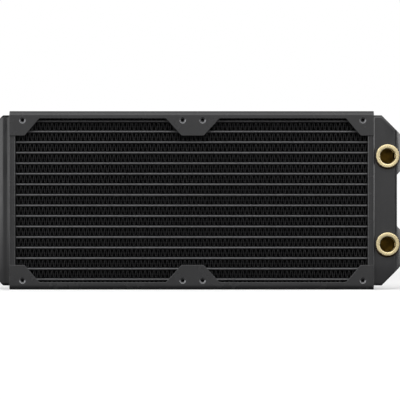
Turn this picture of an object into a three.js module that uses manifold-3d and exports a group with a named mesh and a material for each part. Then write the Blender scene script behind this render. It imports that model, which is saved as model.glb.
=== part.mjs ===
// A slim liquid cooling radiator for two 140 mm fans side by side.
//
// Millimetres. X runs along the length, Y through the thickness and Z up. The front, with the two
// threaded ports, faces -Y. The radiator stands on its lower side panel, and the origin is in the
// middle of its base.

import * as THREE from "three";
import { mergeVertices } from "three/addons/utils/BufferGeometryUtils.js";
import Module from "manifold-3d";

const wasm = await Module();
wasm.setup();

// ---- Driving dimensions ------------------------------------------------------------------------

// The frame: two bent sheet channels, above and below the core.
const frameLength = 283.2;
const frameHeight = 138.7;
const frameDepth = 30;
const panelSheet = 1.2;
const panelBend = 3.4; // outer radius
const flangeDepth = 5.8; // between the tabs
const tabReach = 19.2; // from the outer edge to a tab's inner edge

// Fan screws: a 124.5 mm square for each 140 mm fan, and fans at 140 mm pitch.
const fanPitch = 140;
const fanHoleSpacing = 124.5;
const fanCentreX = 0.8; // the pattern's middle, beside the frame's middle
const screwRadius = 1.25; // drilled for an M3 thread
const dimpleRadius = 2.65;
const dimpleDepth = 0.75;
const drawnRadius = 2.7; // the pressed collar behind each hole
const drawnLength = 1.4;
const drawnWall = 0.8; // at the collar's far end

// Tabs: half widths at the inner edge and at the flange, from each tab's own hole or middle.
const centreTabTip = 8.65;
const centreTabRoot = 20.95;
const cornerTabTip = 1.7;
const cornerTabRoot = 13.2;

// The core.
const tubeCount = 16;
const tubePitch = 8.21;
const tubeThickness = 2;
const tubeWidth = 21;
const tubeWall = 0.3;
const finDepth = 20.4;
const finSheet = 0.3;
const finFolds = 18; // full zigzags along a strip
const gap = 0.3; // soldered joints are left open by this much

// Header plates: trays whose rims hold the tanks.
const headerDepth = 4.85;
const headerSheet = 1.2;
const headerCorner = 3;

// Tanks.
const tankDepth = 24;
const tankHeight = 132.4;
const tankWall = 1;
const tankEdge = 2.2; // outer edge radius
const portTankStraight = 6.25; // straight sides beyond the frame, before the 45 degree corners
const portTankReach = 18.2;
const bulgeReach = 22.2;
const bulgeInnerEnd = 20; // from the tank's middle to the near end of a bulge
const bulgeCorner = 0.8;
const returnTankFlat = 1.4; // flat faces beyond the frame, before the rounded end
const returnTankStraight = 5.3;
const returnTankReach = 12.6;
const returnTankLastAngle = (75 / 180) * Math.PI; // of the quarter ellipse that makes the rounded end
const returnTankLeastEdge = 0.5; // half the width of the flat left at its tip, beside the edge radius
const dividerSheet = 1;

// Ports: G1/4 threaded collars.
const portSpacing = 68.5;
const portReach = 10.73; // from the frame's end to a port's axis
const collarRadius = 9.15;
const collarFace = 14.6; // distance in front of the middle plane
const collarBack = 5;
const threadMinorRadius = 5.72;
const threadMajorRadius = 6.58;
const collarChamfer = 0.4;

// ---- Worked-out dimensions ---------------------------------------------------------------------

const frameEnd = frameLength / 2;
const frameTop = frameHeight / 2;
const mouthX = frameEnd - headerDepth + headerSheet + gap; // where both tanks' walls begin
const tubeEnd = frameEnd - 2;
const finLength = frameLength - 2 * (headerDepth + gap);
const bulgeOuterEnd = tankHeight / 2 - (portTankReach - portTankStraight);
const cutMargin = 1; // how far a cutter runs past what it cuts
const screwSegments = 12;
const collarSegments = 32;

// ---- Materials ---------------------------------------------------------------------------------

const paint = (name, color, roughness) =>
  new THREE.MeshStandardMaterial({ name, color, roughness, metalness: 0.1 });
const framePaint = paint("frame_paint", 0x3e3e40, 0.5);
const headerPaint = paint("header_paint", 0x3b3b3d, 0.5);
const tankPaint = paint("tank_paint", 0x3d3d3f, 0.5);
const tubePaint = paint("tube_paint", 0x5c5c5e, 0.45);
const finPaint = paint("fin_paint", 0x131314, 0.6);
const brass = new THREE.MeshStandardMaterial({ name: "brass", color: 0xd8c48c, roughness: 0.25, metalness: 1 });
const sheetBrass = new THREE.MeshStandardMaterial({
  name: "sheet_brass",
  color: 0xb39a5c,
  roughness: 0.45,
  metalness: 1,
});

// ---- Solids ------------------------------------------------------------------------------------

/** A closed geometry as a solid that can be joined and cut. */
function solidOf(geometry) {
  const bare = geometry.clone();
  bare.deleteAttribute("normal");
  bare.deleteAttribute("uv");
  const merged = mergeVertices(bare);
  return new wasm.Manifold(
    new wasm.Mesh({
      numProp: 3,
      vertProperties: new Float32Array(merged.attributes.position.array),
      triVerts: new Uint32Array(merged.index.array),
    }),
  );
}

/** The solid's surface as a flat-shaded geometry. */
function geometryOf(solid) {
  const mesh = solid.getMesh();
  const geometry = new THREE.BufferGeometry();
  geometry.setAttribute("position", new THREE.BufferAttribute(mesh.vertProperties, 3));
  geometry.setIndex(new THREE.BufferAttribute(mesh.triVerts, 1));
  geometry.computeVertexNormals();
  return geometry;
}

/** Extrudes a shape drawn in (Y, Z) along X. */
function extrudeX(shape, fromX, toX, curveSegments = 4) {
  const geometry = new THREE.ExtrudeGeometry(shape, {
    depth: toX - fromX,
    bevelEnabled: false,
    curveSegments,
  });
  const basis = new THREE.Matrix4().makeBasis(
    new THREE.Vector3(0, 1, 0),
    new THREE.Vector3(0, 0, 1),
    new THREE.Vector3(1, 0, 0),
  );
  return geometry.applyMatrix4(basis).translate(fromX, 0, 0);
}

/** Extrudes a shape drawn in (X, Z) evenly to both sides of the middle plane, with rounded edges if asked. */
function extrudeY(shape, depth, edge = 0, inset = 0) {
  const geometry = new THREE.ExtrudeGeometry(shape, {
    depth: depth - 2 * edge,
    bevelEnabled: edge > 0,
    bevelThickness: edge,
    bevelSize: edge,
    bevelOffset: -edge - inset,
    bevelSegments: 4,
    curveSegments: 4,
  });
  const basis = new THREE.Matrix4().makeBasis(
    new THREE.Vector3(1, 0, 0),
    new THREE.Vector3(0, 0, 1),
    new THREE.Vector3(0, -1, 0),
  );
  return geometry.applyMatrix4(basis).translate(0, depth / 2 - edge, 0);
}

function polygon(points) {
  return new THREE.Shape(points.map(([a, b]) => new THREE.Vector2(a, b)));
}

/** A rectangle with rounded corners, about the origin. */
function roundedRectangle(halfWidth, halfHeight, radius) {
  const w = halfWidth - radius;
  const h = halfHeight - radius;
  const shape = new THREE.Shape();
  shape.absarc(w, h, radius, 0, Math.PI / 2);
  shape.absarc(-w, h, radius, Math.PI / 2, Math.PI);
  shape.absarc(-w, -h, radius, Math.PI, 1.5 * Math.PI);
  shape.absarc(w, -h, radius, 1.5 * Math.PI, 2 * Math.PI);
  return shape;
}

/** Joins rounded rectangles, each { x, halfY, halfZ, z, corner }, into one solid along X. */
function loftX(sections) {
  const cornerSteps = 4;
  const positions = [];
  for (const { x, halfY, halfZ, z = 0, corner } of sections) {
    for (let quarter = 0; quarter < 4; quarter++) {
      for (let step = 0; step <= cornerSteps; step++) {
        const angle = ((quarter + step / cornerSteps) * Math.PI) / 2;
        const sideY = quarter === 0 || quarter === 3 ? 1 : -1;
        const sideZ = quarter < 2 ? 1 : -1;
        positions.push(
          x,
          sideY * (halfY - corner) + corner * Math.cos(angle),
          z + sideZ * (halfZ - corner) + corner * Math.sin(angle),
        );
      }
    }
  }
  const loop = 4 * (cornerSteps + 1);
  const index = [];
  for (let section = 0; section < sections.length - 1; section++) {
    for (let i = 0; i < loop; i++) {
      const a = section * loop + i;
      const b = section * loop + ((i + 1) % loop);
      index.push(a, b, a + loop, b, b + loop, a + loop);
    }
  }
  const lastLoop = (sections.length - 1) * loop;
  for (let i = 1; i < loop - 1; i++) {
    index.push(0, i + 1, i);
    index.push(lastLoop, lastLoop + i, lastLoop + i + 1);
  }
  const geometry = new THREE.BufferGeometry();
  geometry.setAttribute("position", new THREE.Float32BufferAttribute(positions, 3));
  geometry.setIndex(index);
  return solidOf(geometry);
}

/** A ring or disc about the Y axis from a closed [radius, y] outline. */
function turned(outline, segments) {
  const points = [...outline, outline[0]].map(([r, y]) => new THREE.Vector2(r, y));
  return solidOf(new THREE.LatheGeometry(points, segments));
}

// ---- Side panels -------------------------------------------------------------------------------

/** The channel's section in (Y, Z), open downwards, with both flanges at the tabs' full reach. */
function channelSection() {
  const y = frameDepth / 2;
  const bendZ = frameTop - panelBend;
  const lipZ = frameTop - tabReach;
  const shape = new THREE.Shape();
  shape.moveTo(y, lipZ);
  shape.lineTo(y, bendZ); // an arc doesn't join itself to a bare starting point
  shape.absarc(y - panelBend, bendZ, panelBend, 0, Math.PI / 2);
  shape.absarc(panelBend - y, bendZ, panelBend, Math.PI / 2, Math.PI);
  shape.lineTo(-y, lipZ);
  shape.lineTo(panelSheet - y, lipZ);
  shape.absarc(panelBend - y, bendZ, panelBend - panelSheet, Math.PI, Math.PI / 2, true);
  shape.absarc(y - panelBend, bendZ, panelBend - panelSheet, Math.PI / 2, 0, true);
  shape.lineTo(y - panelSheet, lipZ);
  return shape;
}

/** The opening between a corner tab and the centre tab, on the side that `side` (-1 or 1) names. */
function tabNotch(side) {
  const hole = fanPitch / 2 + fanHoleSpacing / 2;
  const rootZ = frameTop - flangeDepth;
  const tipZ = frameTop - tabReach;
  const outline = [
    [centreTabRoot, rootZ],
    [centreTabTip, tipZ],
    [centreTabTip, tipZ - cutMargin],
    [hole - cornerTabTip, tipZ - cutMargin],
    [hole - cornerTabTip, tipZ],
    [hole - cornerTabRoot, rootZ],
  ].map(([x, z]) => [fanCentreX + side * x, z]);
  return solidOf(extrudeY(polygon(side > 0 ? outline.reverse() : outline), frameDepth + 2 * cutMargin));
}

/** Calls `use` with the X of each fan screw and with each face's sign: -1 front, 1 rear. */
function forEachScrew(use) {
  for (const fan of [-0.5, 0.5]) {
    for (const hole of [-0.5, 0.5]) {
      for (const face of [-1, 1]) {
        use(fanCentreX + fan * fanPitch + hole * fanHoleSpacing, face);
      }
    }
  }
}

function sidePanel() {
  const inside = frameDepth / 2 - panelSheet;
  const drawnEnd = inside - drawnLength;
  const drawn = turned(
    [[0, drawnEnd], [screwRadius + drawnWall, drawnEnd], [drawnRadius, inside], [0, inside + panelSheet / 2]],
    screwSegments,
  );
  const outside = frameDepth / 2;
  const cutter = turned(
    [
      [0, drawnEnd - cutMargin],
      [screwRadius, drawnEnd - cutMargin],
      [screwRadius, outside - dimpleDepth],
      [dimpleRadius, outside],
      [dimpleRadius, outside + cutMargin],
      [0, outside + cutMargin],
    ],
    screwSegments,
  );
  let panel = solidOf(extrudeX(channelSection(), -frameEnd, frameEnd));
  panel = panel.subtract(tabNotch(-1)).subtract(tabNotch(1));
  const screwZ = fanHoleSpacing / 2;
  const atScrew = (solid, x, face) => solid.rotate([0, 0, face > 0 ? 0 : 180]).translate([x, 0, screwZ]);
  forEachScrew((x, face) => {
    panel = panel.add(atScrew(drawn, x, face));
  });
  forEachScrew((x, face) => {
    panel = panel.subtract(atScrew(cutter, x, face));
  });
  return geometryOf(panel);
}

// ---- Core --------------------------------------------------------------------------------------

const tubeZ = (number) => (number - (tubeCount + 1) / 2) * tubePitch;

function flatTube() {
  const shape = roundedRectangle(tubeWidth / 2, tubeThickness / 2, tubeThickness / 2);
  const passage = roundedRectangle(
    tubeWidth / 2 - tubeWall,
    tubeThickness / 2 - tubeWall,
    tubeThickness / 2 - tubeWall,
  );
  shape.holes.push(passage);
  return geometryOf(solidOf(extrudeX(shape, -tubeEnd, tubeEnd, 2)));
}

/** A folded strip that zigzags along X between two heights. */
function finStrip(lowZ, highZ) {
  const fold = finLength / finFolds;
  const rise = highZ - lowZ;
  const sheetZ = finSheet * Math.hypot(1, (2 * rise) / fold); // the sheet's thickness measured upright
  const lower = [];
  for (let i = 0; i <= 2 * finFolds; i++) {
    lower.push([-finLength / 2 + (i * fold) / 2, i % 2 ? highZ - sheetZ : lowZ]);
  }
  const upper = lower.map(([x, z]) => [x, z + sheetZ]).reverse();
  return extrudeY(polygon([...lower, ...upper]), finDepth);
}

/** A tray with its rim towards +X and a slot for each tube. */
function headerPlate() {
  const coreSide = frameEnd - headerDepth;
  const halfY = tankDepth / 2 + gap + headerSheet;
  const halfZ = tankHeight / 2 + gap + headerSheet;
  const body = roundedRectangle(halfY, halfZ, headerCorner);
  const hollow = roundedRectangle(halfY - headerSheet, halfZ - headerSheet, headerCorner - headerSheet);
  let tray = solidOf(extrudeX(body, coreSide, frameEnd));
  tray = tray.subtract(solidOf(extrudeX(hollow, coreSide + headerSheet, frameEnd + cutMargin)));
  const slotShape = roundedRectangle(tubeWidth / 2 + gap, tubeThickness / 2 + gap, tubeThickness / 2 + gap);
  const slot = solidOf(extrudeX(slotShape, coreSide - cutMargin, coreSide + headerSheet + cutMargin, 2));
  for (let number = 1; number <= tubeCount; number++) {
    tray = tray.subtract(slot.translate([0, 0, tubeZ(number)]));
  }
  return geometryOf(tray);
}

// ---- Tanks -------------------------------------------------------------------------------------

/** The return tank's outer body, or its hollow if `inset` is its wall. Its end is rounded like a D. */
function returnTankBody(inset) {
  const steps = 8;
  const roundStart = frameEnd + returnTankFlat;
  const end = frameEnd + returnTankReach - inset;
  const across = tankDepth / 2 - inset;
  const along = (end - roundStart) / Math.sin(returnTankLastAngle);
  const straightEnd = frameEnd + returnTankStraight;
  const section = (x, halfY) => ({
    x,
    halfY,
    halfZ: tankHeight / 2 - inset - Math.max(0, x - straightEnd),
    corner: Math.min(tankEdge, halfY - returnTankLeastEdge),
  });
  const sections = [section(mouthX - (inset > 0 ? cutMargin : 0), across)];
  for (let step = 0; step <= steps; step++) {
    const angle = (step / steps) * returnTankLastAngle;
    sections.push(section(roundStart + along * Math.sin(angle), across * Math.cos(angle)));
  }
  return loftX(sections);
}

function returnTank() {
  const tank = returnTankBody(0).subtract(returnTankBody(tankWall));
  return geometryOf(tank);
}

/** The port tank's pan, or its hollow if `inset` is its wall, running past the mouth. */
function portPan(inset) {
  const halfZ = tankHeight / 2;
  const straightEnd = frameEnd + portTankStraight;
  const end = frameEnd + portTankReach;
  const behindMouth = mouthX - 3 * tankEdge;
  const outline = polygon([
    [behindMouth, -halfZ],
    [straightEnd, -halfZ],
    [end, -bulgeOuterEnd],
    [end, bulgeOuterEnd],
    [straightEnd, halfZ],
    [behindMouth, halfZ],
  ]);
  return solidOf(extrudeY(outline, tankDepth - 2 * inset, tankEdge - inset, inset));
}

/** The part of the tank that makes room for one collar, sloping in at 45 degrees on all sides. */
function portBulge(side, inset) {
  const end = frameEnd + portTankReach;
  const slopeStart = end - inset * (Math.SQRT2 - 1);
  const tip = frameEnd + bulgeReach - inset;
  const halfY = tankDepth / 2 - tankEdge - inset;
  const halfZ = (bulgeOuterEnd - bulgeInnerEnd) / 2 - inset;
  const z = (side * (bulgeOuterEnd + bulgeInnerEnd)) / 2;
  const corner = bulgeCorner;
  const slope = tip - slopeStart;
  return loftX([
    { x: end - 3 * tankWall, halfY, halfZ, z, corner },
    { x: slopeStart, halfY, halfZ, z, corner },
    { x: tip, halfY: halfY - slope, halfZ: halfZ - slope, z, corner },
  ]);
}

function portTank() {
  const sides = [-1, 1];
  let body = portPan(0);
  let hollow = portPan(tankWall);
  for (const side of sides) {
    body = body.add(portBulge(side, 0));
    hollow = hollow.add(portBulge(side, tankWall));
  }
  const halfSize = frameHeight;
  const behind = solidOf(new THREE.BoxGeometry(halfSize, halfSize, 2 * halfSize)).translate([
    mouthX - halfSize / 2,
    0,
    0,
  ]);
  const holeRadius = collarRadius + gap;
  const hole = turned(
    [
      [0, -frameDepth],
      [holeRadius, -frameDepth],
      [holeRadius, gap - collarBack],
      [0, gap - collarBack],
    ],
    collarSegments,
  );
  let tank = body.subtract(hollow).subtract(behind);
  for (const side of sides) {
    tank = tank.subtract(hole.translate([frameEnd + portReach, 0, (side * portSpacing) / 2]));
  }
  return geometryOf(tank);
}

/** The baffle that parts the inlet side of the port tank from the outlet side. */
function tankDivider() {
  const fromX = mouthX;
  const toX = frameEnd + portTankReach - tankWall - gap;
  const shape = roundedRectangle((toX - fromX) / 2, tankDepth / 2 - tankWall - gap, tankEdge - tankWall + gap);
  const geometry = new THREE.ExtrudeGeometry(shape, {
    depth: dividerSheet,
    bevelEnabled: false,
    curveSegments: 3,
  });
  return geometry.translate((fromX + toX) / 2, 0, -dividerSheet / 2);
}

function portCollar() {
  const threadDepth = threadMajorRadius - threadMinorRadius;
  const collar = turned(
    [
      [threadMinorRadius, threadDepth - collarFace],
      [threadMajorRadius, -collarFace],
      [collarRadius - collarChamfer, -collarFace],
      [collarRadius, collarChamfer - collarFace],
      [collarRadius, -collarBack],
      [threadMinorRadius, -collarBack],
    ],
    collarSegments,
  );
  return geometryOf(collar);
}

// ---- Assembly ----------------------------------------------------------------------------------

const radiator = new THREE.Group();
radiator.position.set((returnTankReach - bulgeReach) / 2, 0, frameTop);

function place(name, geometry, material) {
  const mesh = new THREE.Mesh(geometry, material);
  mesh.name = name;
  radiator.add(mesh);
  return mesh;
}

const twoDigits = (number) => String(number).padStart(2, "0");

const panelGeometry = sidePanel();
place("top_side_panel", panelGeometry, framePaint);
place("bottom_side_panel", panelGeometry, framePaint).rotation.x = Math.PI;

const headerGeometry = headerPlate();
place("port_header_plate", headerGeometry, headerPaint);
place("return_header_plate", headerGeometry, headerPaint).rotation.z = Math.PI;

const tubeGeometry = flatTube();
for (let number = 1; number <= tubeCount; number++) {
  place(`tube_${twoDigits(number)}`, tubeGeometry, tubePaint).position.z = tubeZ(number);
}

// One strip lies below each tube, and the last one lies above the last tube.
for (let number = 1; number <= tubeCount + 1; number++) {
  const below = number === 1 ? panelSheet - frameTop : tubeZ(number - 1) + tubeThickness / 2;
  const above = number > tubeCount ? frameTop - panelSheet : tubeZ(number) - tubeThickness / 2;
  place(`fin_strip_${twoDigits(number)}`, finStrip(below + gap, above - gap), finPaint);
}

place("port_tank", portTank(), tankPaint);
place("return_tank", returnTank(), tankPaint).rotation.z = Math.PI;
place("tank_divider", tankDivider(), sheetBrass);

const collarGeometry = portCollar();
for (const [name, side] of [["port_collar_upper", 1], ["port_collar_lower", -1]]) {
  place(name, collarGeometry, brass).position.set(frameEnd + portReach, 0, (side * portSpacing) / 2);
}

export default radiator;
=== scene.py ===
"""A slim liquid cooling radiator for two 140 mm fans, standing on its lower side panel.

Metres. X runs along the length, Y through the thickness and Z up. The front, with the ports, faces -Y.
Pieces are built about the middle of the frame, between the ends of the side panels.
"""

import math

import bmesh
import bpy
import numpy as np
from mathutils import Matrix, Vector


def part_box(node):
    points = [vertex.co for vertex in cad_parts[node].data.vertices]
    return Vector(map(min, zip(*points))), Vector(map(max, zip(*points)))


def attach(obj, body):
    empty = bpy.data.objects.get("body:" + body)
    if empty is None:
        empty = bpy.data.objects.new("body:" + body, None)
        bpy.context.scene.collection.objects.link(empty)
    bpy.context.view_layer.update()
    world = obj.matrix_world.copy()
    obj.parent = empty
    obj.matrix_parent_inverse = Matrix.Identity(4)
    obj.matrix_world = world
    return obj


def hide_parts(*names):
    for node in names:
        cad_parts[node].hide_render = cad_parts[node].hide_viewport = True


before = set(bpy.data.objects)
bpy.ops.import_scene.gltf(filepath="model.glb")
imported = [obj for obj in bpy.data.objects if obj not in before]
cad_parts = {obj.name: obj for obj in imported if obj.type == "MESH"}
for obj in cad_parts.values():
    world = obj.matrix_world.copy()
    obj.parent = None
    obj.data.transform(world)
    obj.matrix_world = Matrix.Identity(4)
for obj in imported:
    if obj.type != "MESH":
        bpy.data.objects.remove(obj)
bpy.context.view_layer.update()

MM = 0.001

# ---- Places and sizes from the frame -------------------------------------------------------------

PANEL_LOW, PANEL_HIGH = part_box("top_side_panel")
TUBE_LOW, TUBE_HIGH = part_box("tube_01")
SECOND_TUBE_LOW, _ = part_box("tube_02")
HEADER_LOW, HEADER_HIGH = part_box("port_header_plate")
PORT_TANK_LOW, PORT_TANK_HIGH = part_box("port_tank")
RETURN_TANK_LOW, RETURN_TANK_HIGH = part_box("return_tank")
COLLAR_LOW, COLLAR_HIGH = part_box("port_collar_upper")

FRAME_LENGTH = PANEL_HIGH.x - PANEL_LOW.x
FRAME_DEPTH = PANEL_HIGH.y - PANEL_LOW.y
FRAME_HEIGHT = PANEL_HIGH.z
TAB_REACH = PANEL_HIGH.z - PANEL_LOW.z
MIDDLE = Vector(((PANEL_LOW.x + PANEL_HIGH.x) / 2, 0, FRAME_HEIGHT / 2))
FRAME_END = FRAME_LENGTH / 2
FRAME_TOP = FRAME_HEIGHT / 2

TUBE_COUNT = 16
TUBE_PITCH = SECOND_TUBE_LOW.z - TUBE_LOW.z
TUBE_THICKNESS = TUBE_HIGH.z - TUBE_LOW.z
TUBE_WIDTH = TUBE_HIGH.y - TUBE_LOW.y
TUBE_LENGTH = TUBE_HIGH.x - TUBE_LOW.x

HEADER_DEPTH = HEADER_HIGH.x - HEADER_LOW.x
TANK_DEPTH = PORT_TANK_HIGH.y - PORT_TANK_LOW.y
TANK_HEIGHT = PORT_TANK_HIGH.z - PORT_TANK_LOW.z
TANK_MOUTH = PORT_TANK_LOW.x - MIDDLE.x
BULGE_REACH = PORT_TANK_HIGH.x - PANEL_HIGH.x
RETURN_REACH = PANEL_LOW.x - RETURN_TANK_LOW.x

PORT = (COLLAR_LOW + COLLAR_HIGH) / 2 - MIDDLE  # the upper port's axis, from the frame's middle
COLLAR_RADIUS = (COLLAR_HIGH.x - COLLAR_LOW.x) / 2
COLLAR_FACE = -COLLAR_LOW.y
COLLAR_BACK = -COLLAR_HIGH.y

# ---- Other sizes -----------------------------------------------------------------------------------

PANEL_SHEET = 1.2 * MM
PANEL_BEND = 3.4 * MM
FLANGE_DEPTH = 5.8 * MM
TAB_CORNER = 0.9 * MM
PANEL_EDGE = 0.45 * MM

FAN_PITCH = 140 * MM
FAN_HOLES = 124.5 * MM
FAN_CENTRE = 0.8 * MM
SCREW_RADIUS = 1.25 * MM
SCREW_THREAD = 0.22 * MM
SCREW_PITCH = 0.5 * MM
DIMPLE_RADIUS = 2.4 * MM
DIMPLE_DEPTH = 0.65 * MM
ROLLED_EDGE = 0.16 * MM
DRAWN_RADIUS = 2.7 * MM
DRAWN_LENGTH = 1.4 * MM
DRAWN_EDGE = 0.5 * MM
DRAWN_TIP_WALL = 0.8 * MM

CENTRE_TAB_TIP = 8.65 * MM
CENTRE_TAB_ROOT = 20.95 * MM
CORNER_TAB_TIP = 1.7 * MM
CORNER_TAB_ROOT = 13.2 * MM

TUBE_WALL = 0.3 * MM
TUBE_NOSE = 1.5 * MM
FIN_FOLDS = 79
FIN_SHEET = 0.2 * MM  # with its paint
FIN_GAP = 0.2 * MM  # between the front and rear halves
FIN_DEPTH = 20.4 * MM
FOLD_RADIUS = 0.42 * MM
LOUVRES = 3  # on each leg of each half
LOUVRE_SETBACK = 3.5 * MM  # behind the fins' front and rear edges
LOUVRE_SHEET = 0.06 * MM
LOUVRE_ANGLE = math.radians(47)
LOUVRE_OVERLAP = 1.06  # of the way to the middle of the channel beside a leg

HEADER_SHEET = 1.2 * MM
HEADER_CORNER = 3 * MM
HEADER_BEND = 1.8 * MM
HEADER_RIM = 0.5 * MM  # how much of the rim slopes in towards the tank
HEADER_RIM_SLOPE = math.radians(30)
SLOT_ROOM = 0.1 * MM

TANK_WALL = 1 * MM
LINING = 0.1 * MM
LINING_GAP = 0.02 * MM
TANK_EDGE = 2.2 * MM
TANK_LEAST_EDGE = 0.3 * MM
TANK_EDGE_ROUND = 0.35  # of the edge, on both sides of its 45 degree face
PORT_TANK_STRAIGHT = 6.25 * MM
PORT_TANK_REACH = 18.2 * MM
BULGE_INNER_END = 20 * MM
BULGE_CORNER = 0.8 * MM
BULGE_FRONT_SLOPE = math.radians(52)
BULGE_ROUND_OFF = 0.6 * MM
RETURN_LIP = 1.2 * MM  # the sloping lip beside the header plate
RETURN_LIP_SLOPE = math.radians(34)
PORT_LIP = 0.8 * MM  # likewise on the port tank
PORT_LIP_SLOPE = math.radians(27)
CREASE = 0.04 * MM  # between the rows of points that keep a crease crisp
RETURN_SLOPE = 3.0 * MM  # how far the faces slope in gently from the mouth
RETURN_SLOPE_ANGLE = math.radians(9)
RETURN_STRAIGHT = 5.3 * MM
RETURN_FIRST_ANGLE = math.radians(3)
RETURN_LAST_ANGLE = math.radians(75)

THREAD_MINOR = 5.72 * MM
THREAD_MAJOR = 6.58 * MM
THREAD_PITCH = 1.337 * MM
MOUTH_RADIUS = 6.25 * MM
MOUTH_ANGLE = math.radians(16)
COLLAR_ROOM = 0.2 * MM  # round each collar in its hole
PAINTED_RADIUS = 9.0 * MM  # beyond which paint laps over the brass; lower down it reaches further in, as painted shadow
COLLAR_CROWN = 0.13 * MM  # how far the rounded face stands out from its edges
COLLAR_BACK_BEVEL = 0.2 * MM
COLLAR_SHADOW_WIDTH = 1.2 * MM  # of the painted shadow ring round each collar
DARK_END = 2.0 * MM  # of the return tank's height, at each end, which is drawn darker and less glossy

CLEARANCE = 0.01 * MM  # between a fin strip and what it rests against
OVERCUT = 1 * MM  # how far a cutter runs past what it cuts


# ---- Shapes: each is (vertices, faces) ---------------------------------------------------------------


def arc(centre, radius, start, end, steps):
    """Points round an arc, with angles in degrees."""
    angles = np.radians(np.linspace(start, end, steps + 1))
    return [(centre[0] + radius * math.cos(a), centre[1] + radius * math.sin(a)) for a in angles]


def rounded_rectangle(half_width, half_height, radius, steps=6, centre=(0, 0)):
    w, h = half_width - radius, half_height - radius
    points = []
    for quarter, (side_w, side_h) in enumerate([(1, 1), (-1, 1), (-1, -1), (1, -1)]):
        corner = (centre[0] + side_w * w, centre[1] + side_h * h)
        points += arc(corner, radius, 90 * quarter, 90 * (quarter + 1), steps)
    return points


def with_round_corners(points, radius, steps=4):
    """A closed outline with each corner replaced by an arc."""
    rounded = []
    for i, corner in enumerate(points):
        corner = Vector(corner)
        to_last = (Vector(points[i - 1]) - corner).normalized()
        to_next = (Vector(points[(i + 1) % len(points)]) - corner).normalized()
        half_angle = to_last.angle(to_next) / 2
        centre = corner + (to_last + to_next).normalized() * (radius / math.sin(half_angle))
        first = corner + to_last * (radius / math.tan(half_angle)) - centre
        last = corner + to_next * (radius / math.tan(half_angle)) - centre
        for step in range(steps + 1):
            spoke = first.lerp(last, step / steps).normalized() * radius
            rounded.append(tuple(centre + spoke))
    return rounded


def tube_of_loops(loops, capped=True):
    """Joins loops with the same number of points, and closes both ends or joins the last to the first."""
    count = len(loops[0])
    vertices = [point for loop in loops for point in loop]
    faces = []
    joined = len(loops) - 1 if capped else len(loops)
    for row in range(joined):
        a, b = row * count, ((row + 1) % len(loops)) * count
        for i in range(count):
            j = (i + 1) % count
            faces.append((a + i, a + j, b + j, b + i))
    if capped:
        faces.append(tuple(reversed(range(count))))
        faces.append(tuple(range((len(loops) - 1) * count, len(loops) * count)))
    return vertices, faces


def prism_x(outline, start, end):
    """An outline in (y, z), extruded along X."""
    return tube_of_loops([[(x, y, z) for y, z in outline] for x in (start, end)])


def prism_y(outline, start, end):
    """An outline in (x, z), extruded along Y."""
    return tube_of_loops([[(x, y, z) for x, z in outline] for y in (start, end)])


def solid_turned(profile, steps=48):
    """A solid about the Y axis, from (radius, y) points with no radius of zero."""
    turns = np.linspace(0, 2 * math.pi, steps, endpoint=False)
    return tube_of_loops([[(r * math.cos(t), y, r * math.sin(t)) for t in turns] for r, y in profile])


def lofted(sections):
    """Rounded rectangles { x, half_y, half_z, corner, z }, joined along X."""
    loops = []
    for x, half_y, half_z, corner, z in sections:
        outline = rounded_rectangle(half_y, half_z, corner, centre=(0, z))
        loops.append([(x, point_y, point_z) for point_y, point_z in outline])
    return tube_of_loops(loops)


def moved(shape, offset=(0, 0, 0), turn_z=0.0):
    matrix = Matrix.Translation(offset) @ Matrix.Rotation(turn_z, 4, "Z")
    return [tuple(matrix @ Vector(v)) for v in shape[0]], shape[1]


def together(shapes):
    vertices, faces = [], []
    for shape_vertices, shape_faces in shapes:
        start = len(vertices)
        vertices += list(shape_vertices)
        faces += [tuple(start + i for i in face) for face in shape_faces]
    return vertices, faces


def mesh_of(name, shape):
    mesh = bpy.data.meshes.new(name)
    mesh.from_pydata(shape[0], [], shape[1])
    shell = bmesh.new()
    shell.from_mesh(mesh)
    bmesh.ops.recalc_face_normals(shell, faces=shell.faces)
    shell.to_mesh(mesh)
    shell.free()
    return mesh


def combined(name, body, *steps):
    """A mesh or shape, joined with or cut by each (operation, shape) in turn."""
    mesh = body if isinstance(body, bpy.types.Mesh) else mesh_of(name, body)
    target = bpy.data.objects.new(name, mesh)
    bpy.context.scene.collection.objects.link(target)
    for operation, shape in steps:
        tool = bpy.data.objects.new("tool", mesh_of("tool", shape))
        bpy.context.scene.collection.objects.link(tool)
        modifier = target.modifiers.new("combine", "BOOLEAN")
        modifier.operation = operation
        modifier.solver = "EXACT"
        modifier.object = tool
        depsgraph = bpy.context.evaluated_depsgraph_get()
        result = bpy.data.meshes.new_from_object(target.evaluated_get(depsgraph))
        target.modifiers.clear()
        target.data = result
        bpy.data.objects.remove(tool)
    mesh = target.data
    bpy.data.objects.remove(target)
    return mesh


def with_round_edges(mesh, width, segments=3):
    """Rounds the mesh's sharp edges by a sheet's small edge radius."""
    target = bpy.data.objects.new("rounding", mesh)
    bpy.context.scene.collection.objects.link(target)
    bevel = target.modifiers.new("edge_radius", "BEVEL")
    bevel.width = width
    bevel.segments = segments
    bevel.limit_method = "ANGLE"
    bevel.angle_limit = math.radians(32)
    bevel.use_clamp_overlap = False
    depsgraph = bpy.context.evaluated_depsgraph_get()
    rounded = bpy.data.meshes.new_from_object(target.evaluated_get(depsgraph))
    bpy.data.objects.remove(target)
    return rounded


def smooth(mesh, sharp_degrees=32):
    mesh.polygons.foreach_set("use_smooth", [True] * len(mesh.polygons))
    mesh.set_sharp_from_angle(angle=math.radians(sharp_degrees))
    return mesh


def place(name, mesh, node, slot, offset=(0, 0, 0)):
    """Shows the mesh in a CAD node's stead."""
    piece = bpy.data.objects.new(name, mesh)
    bpy.context.scene.collection.objects.link(piece)
    piece.location = MIDDLE + Vector(offset)
    if not mesh.materials:
        mesh.materials.append(MATERIALS[slot])
    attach(piece, "root")
    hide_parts(node)
    return piece


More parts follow.
